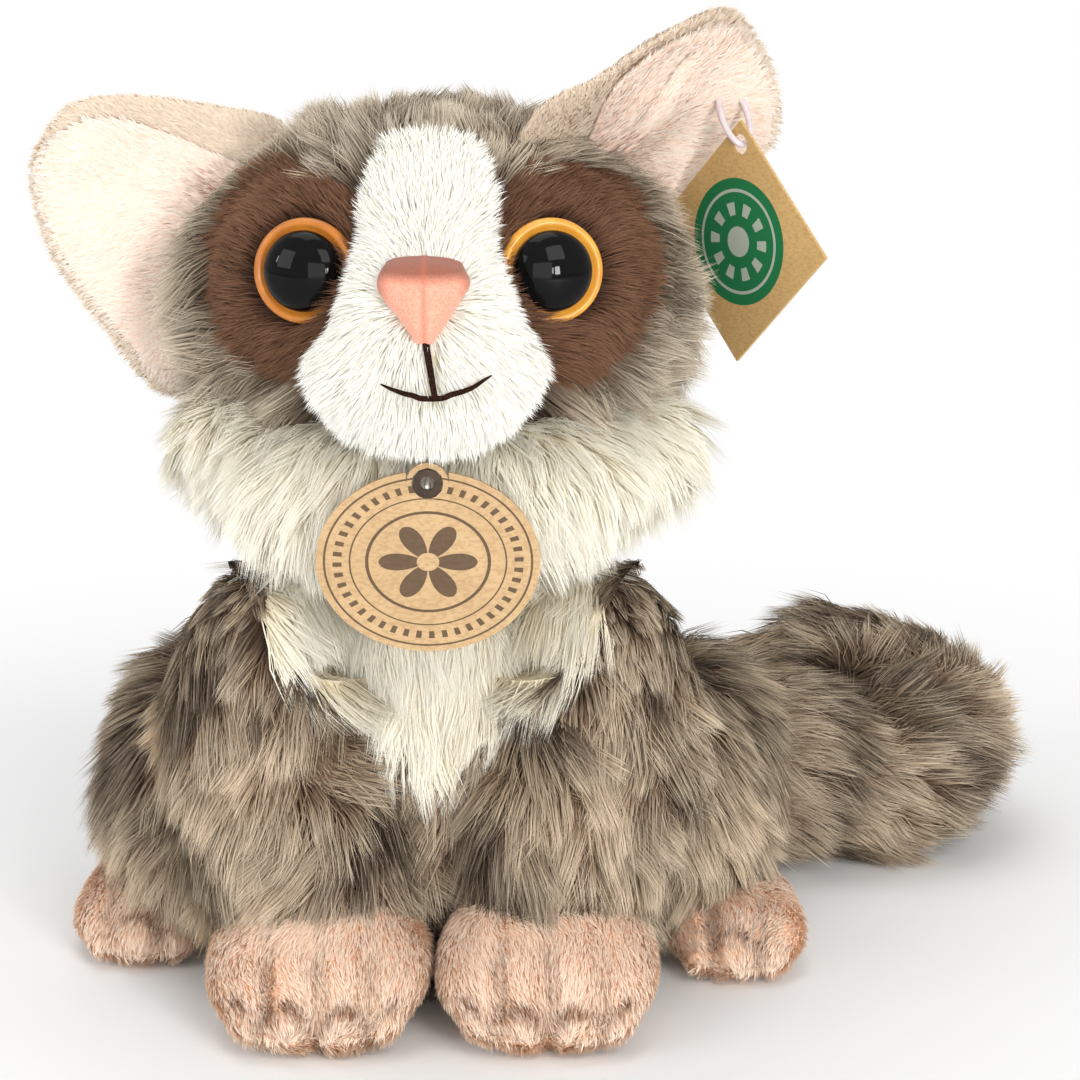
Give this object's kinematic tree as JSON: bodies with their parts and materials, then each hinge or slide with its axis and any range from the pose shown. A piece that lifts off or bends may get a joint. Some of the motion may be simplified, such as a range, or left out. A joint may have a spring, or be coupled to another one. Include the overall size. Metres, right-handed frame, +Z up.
{
  "type": "seated plush animal",
  "caption": "Seated long-pile plush animal with large cupped ears, round safety eyes, cream bib, peach paws, a thick curled tail and card tags on the chest and one ear.",
  "frame": {"origin": "middle of the flat seat, on the floor", "axes": "+Z up, the animal faces -Y and its own left is +X"},
  "size_m": [0.1891, 0.1635, 0.1783],
  "materials": {
    "grey_fur": "long pile, grey-brown tips over a dark ground",
    "cream_fur": "long cream pile",
    "brown_plush": "short brown pile",
    "white_plush": "short white pile",
    "peach_plush": "short peach pile with airbrushed brown toe marks",
    "ear_inner": "very short pinkish cream pile",
    "ear_outer": "short beige pile",
    "nose_plush": "smooth pink fabric, darker edges",
    "brown_thread": "dark brown stitching",
    "amber_plastic": "moulded amber",
    "black_plastic": "glossy black dome",
    "washer_plastic": "natural plastic",
    "fibre": "loose polyester fibre",
    "pellet_bag": "thin bag of plastic pellets",
    "kraft_card": "uncoated kraft card",
    "dark_eyelet": "dark burnished eyelet",
    "loop_plastic": "thin moulded loop"
  },
  "bodies": {
    "torso": {"torso_cover": "grey_fur", "chest_bib": "cream_fur", "torso_filling": "fibre", "seat_pellet_bag": "pellet_bag", "hind_leg_left": "grey_fur", "hind_leg_left_filling": "fibre", "hind_leg_right": "grey_fur", "hind_leg_right_filling": "fibre", "hind_foot_left": "peach_plush", "hind_foot_left_filling": "fibre", "hind_foot_right": "peach_plush", "hind_foot_right_filling": "fibre"},
    "neck": {"neck_filling": "fibre"},
    "head": {"head_cover": "grey_fur", "head_filling": "fibre", "eye_patch_left": "brown_plush", "eye_patch_right": "brown_plush", "muzzle": "white_plush", "muzzle_filling": "fibre", "cheek_ruff": "cream_fur", "nose": "nose_plush", "mouth_line": "brown_thread", "mouth_smile": "brown_thread", "eye_body_left": "amber_plastic", "eye_body_right": "amber_plastic", "eye_pupil_left": "black_plastic", "eye_pupil_right": "black_plastic", "eye_washer_left": "washer_plastic", "eye_washer_right": "washer_plastic", "chest_tag_pin": "loop_plastic"},
    "ear_right": {"ear_right_front": "ear_inner", "ear_right_back": "ear_outer"},
    "ear_left": {"ear_left_front": "ear_inner", "ear_left_back": "ear_outer", "ear_tag_loop": "loop_plastic"},
    "ear_tag": {"ear_tag": "kraft_card"},
    "chest_tag": {"chest_tag": "kraft_card", "chest_tag_eyelet": "dark_eyelet"},
    "foreleg_right": {"foreleg_right": "grey_fur", "foreleg_filling_right": "fibre", "forepaw_right": "peach_plush"},
    "foreleg_left": {"foreleg_left": "grey_fur", "foreleg_filling_left": "fibre", "forepaw_left": "peach_plush"},
    "tail": {"tail": "grey_fur", "tail_filling": "fibre"}
  },
  "joints": [
    {"name": "head_turn", "type": "hinge", "parent": "torso", "child": "neck", "pos_m": [0, -0.006, 0.124], "axis": [0, 0, 1], "range_deg": [-15, 15], "stiffness_Nm_per_rad": 0.4},
    {"name": "head_nod", "type": "hinge", "parent": "neck", "child": "head", "pos_m": [0, -0.006, 0.124], "axis": [-1, 0, 0], "range_deg": [0, 12], "stiffness_Nm_per_rad": 0.6},
    {"name": "ear_right_fold", "type": "hinge", "parent": "head", "child": "ear_right", "pos_m": [-0.04465, 0.00268, 0.13302], "axis": [0.2563, 0.1392, 0.9565], "range_deg": [-15, 15], "stiffness_Nm_per_rad": 0.1},
    {"name": "ear_left_fold", "type": "hinge", "parent": "head", "child": "ear_left", "pos_m": [0.03309, 0.00231, 0.14968], "axis": [-0.4255, -0.7986, 0.4255], "range_deg": [-15, 15], "stiffness_Nm_per_rad": 0.1},
    {"name": "ear_tag_swing", "type": "hinge", "parent": "ear_left", "child": "ear_tag", "pos_m": [0.05479, 0.00164, 0.15077], "axis": [-0.7547, -0.6561, 0], "range_deg": [-3, 37]},
    {"name": "chest_tag_swing", "type": "hinge", "parent": "head", "child": "chest_tag", "pos_m": [0, -0.051, 0.10155], "axis": [-1, 0, 0], "range_deg": [0, 60]},
    {"name": "foreleg_right_lift", "type": "hinge", "parent": "torso", "child": "foreleg_right", "pos_m": [-0.0335, -0.024, 0.067], "axis": [-1, 0, 0], "range_deg": [0, 25], "stiffness_Nm_per_rad": 0.3},
    {"name": "foreleg_left_lift", "type": "hinge", "parent": "torso", "child": "foreleg_left", "pos_m": [0.0335, -0.024, 0.067], "axis": [-1, 0, 0], "range_deg": [0, 25], "stiffness_Nm_per_rad": 0.3},
    {"name": "tail_swing", "type": "hinge", "parent": "torso", "child": "tail", "pos_m": [0.016, 0.03, 0.026], "axis": [0, 0, 1], "range_deg": [0, 40], "stiffness_Nm_per_rad": 0.3}
  ]
}
